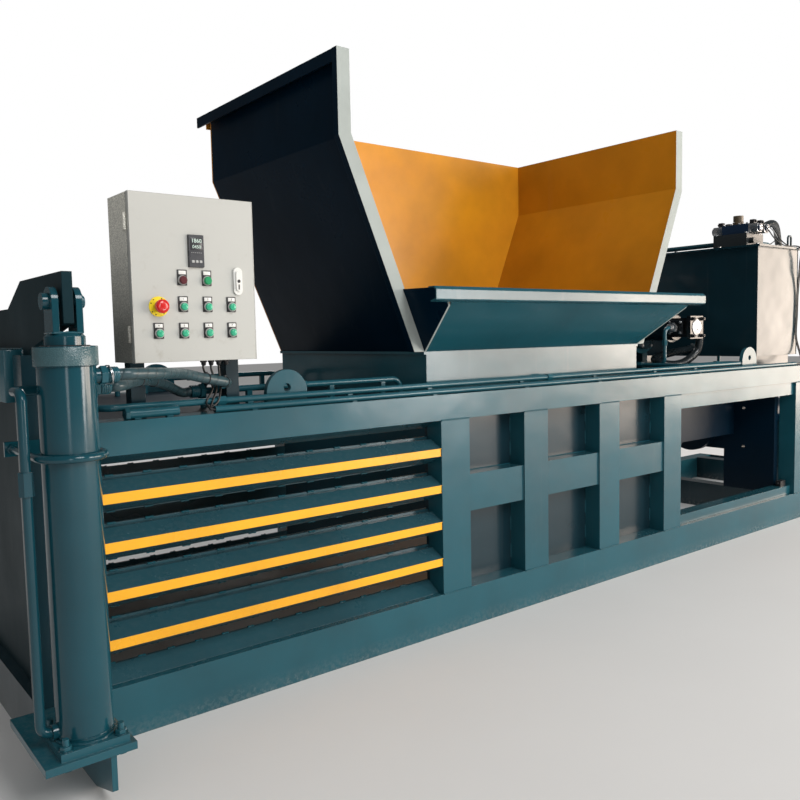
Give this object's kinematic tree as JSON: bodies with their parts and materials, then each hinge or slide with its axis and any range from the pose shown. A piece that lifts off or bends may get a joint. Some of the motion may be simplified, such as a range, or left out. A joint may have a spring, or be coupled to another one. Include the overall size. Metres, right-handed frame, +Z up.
{
  "type": "recycling baler",
  "caption": "Horizontal channel baler: a ram presses loose waste from a hopper against a lift gate, with slotted bale chamber walls, oil tank, pump and control box.",
  "frame": {"origin": "centre of the base on the floor, at half its length and width", "axes": "+X from the gate end to the main cylinder end, -Y the operator side, +Z up"},
  "size_m": [5.581, 1.994, 2.21],
  "materials": {
    "teal_paint": "glossy teal enamel",
    "dark_teal_paint": "glossy dark teal enamel",
    "bare_steel": "worn bare steel",
    "yellow_paint": "glossy yellow enamel",
    "bolt_steel": "zinc-plated steel",
    "orange_paint": "glossy orange enamel",
    "painted_hose": "rubber hose with a spiral wrap, painted over",
    "black_hose": "dark ribbed rubber",
    "valve_body": "dark painted castings",
    "pump_body": "dark casting with a bright end plate",
    "black_plastic": "moulded",
    "grey_sheet": "grey hammered enamel",
    "door_paint": "pale warm grey enamel",
    "dark_plastic": "dark moulded case with a window",
    "lamp_lens": "coloured lens",
    "yellow_plastic": "moulded",
    "white_plastic": "moulded",
    "red_plastic": "moulded",
    "chromed_steel": "ground and chromed",
    "green_plastic": "moulded"
  },
  "bodies": {
    "frame": {"base_rails": "teal_paint", "cross_members": "dark_teal_paint", "floor_plate": "bare_steel", "top_rails": "teal_paint", "side_posts": "teal_paint", "side_ribs": "teal_paint", "chamber_walls": "dark_teal_paint", "ram_guides": "teal_paint", "deck_plates": "dark_teal_paint", "side_slats": "yellow_paint", "gate_guides": "dark_teal_paint", "cross_plate": "dark_teal_paint", "main_barrel": "dark_teal_paint", "lift_barrels": "teal_paint", "lift_brackets": "teal_paint", "foot_bolts": "bolt_steel", "lift_hoops": "teal_paint", "lift_tubes": "teal_paint", "hopper_gate_wall": "dark_teal_paint", "hopper_rear_wall": "dark_teal_paint", "hopper_far_wall": "orange_paint", "hopper_lip": "teal_paint", "hopper_collar": "teal_paint", "lifting_lugs": "teal_paint", "oil_pipes": "teal_paint", "lift_hoses": "painted_hose", "main_hose": "black_hose", "control_cables": "black_hose", "tank": "dark_teal_paint", "tank_lid": "dark_teal_paint", "valve_block": "valve_body", "motor": "teal_paint", "bell_housing": "dark_teal_paint", "pump": "pump_body", "suction_hose": "black_hose", "limit_switch": "black_plastic", "box_shell": "grey_sheet", "box_stand": "dark_teal_paint"},
    "gate": {"gate_plate": "dark_teal_paint", "lift_rods": "chromed_steel", "lift_forks": "teal_paint", "fork_pins": "bolt_steel"},
    "ram": {"ram_face": "bare_steel", "ram_body": "dark_teal_paint", "main_rod": "chromed_steel"},
    "cabinet_door": {"box_door": "door_paint", "instrument": "dark_plastic", "pilot_lamps": "lamp_lens", "label_holders": "black_plastic", "stop_ring": "yellow_plastic", "lock_case": "white_plastic"},
    "door_lock": {"lock_lever": "white_plastic"},
    "stop_button": {"stop_button": "red_plastic"},
    "button_1": {"button_1": "green_plastic"},
    "button_2": {"button_2": "green_plastic"},
    "button_3": {"button_3": "green_plastic"},
    "button_4": {"button_4": "green_plastic"},
    "button_5": {"button_5": "green_plastic"},
    "button_6": {"button_6": "green_plastic"},
    "button_7": {"button_7": "green_plastic"}
  },
  "joints": [
    {"name": "gate_lift", "type": "slide", "parent": "frame", "child": "gate", "axis": [0, 0, 1], "range_m": [0, 0.72]},
    {"name": "ram_stroke", "type": "slide", "parent": "frame", "child": "ram", "axis": [-1, 0, 0], "range_m": [0, 1.45]},
    {"name": "cabinet_door", "type": "hinge", "parent": "frame", "child": "cabinet_door", "pos_m": [-2.4423, -0.628, 1.367], "axis": [0, 0, -1], "range_deg": [0, 110]},
    {"name": "lock_turn", "type": "hinge", "parent": "cabinet_door", "child": "door_lock", "pos_m": [-2.097, -0.65, 1.364], "axis": [0, 1, 0], "range_deg": [0, 90]},
    {"name": "stop_press", "type": "slide", "parent": "cabinet_door", "child": "stop_button", "axis": [0, 1, 0], "range_m": [0, 0.005], "stiffness_N_per_m": 1200},
    {"name": "press_1", "type": "slide", "parent": "cabinet_door", "child": "button_1", "axis": [0, 1, 0], "range_m": [0, 0.004], "stiffness_N_per_m": 600},
    {"name": "press_2", "type": "slide", "parent": "cabinet_door", "child": "button_2", "axis": [0, 1, 0], "range_m": [0, 0.004], "stiffness_N_per_m": 600},
    {"name": "press_3", "type": "slide", "parent": "cabinet_door", "child": "button_3", "axis": [0, 1, 0], "range_m": [0, 0.004], "stiffness_N_per_m": 600},
    {"name": "press_4", "type": "slide", "parent": "cabinet_door", "child": "button_4", "axis": [0, 1, 0], "range_m": [0, 0.004], "stiffness_N_per_m": 600},
    {"name": "press_5", "type": "slide", "parent": "cabinet_door", "child": "button_5", "axis": [0, 1, 0], "range_m": [0, 0.004], "stiffness_N_per_m": 600},
    {"name": "press_6", "type": "slide", "parent": "cabinet_door", "child": "button_6", "axis": [0, 1, 0], "range_m": [0, 0.004], "stiffness_N_per_m": 600},
    {"name": "press_7", "type": "slide", "parent": "cabinet_door", "child": "button_7", "axis": [0, 1, 0], "range_m": [0, 0.004], "stiffness_N_per_m": 600}
  ]
}
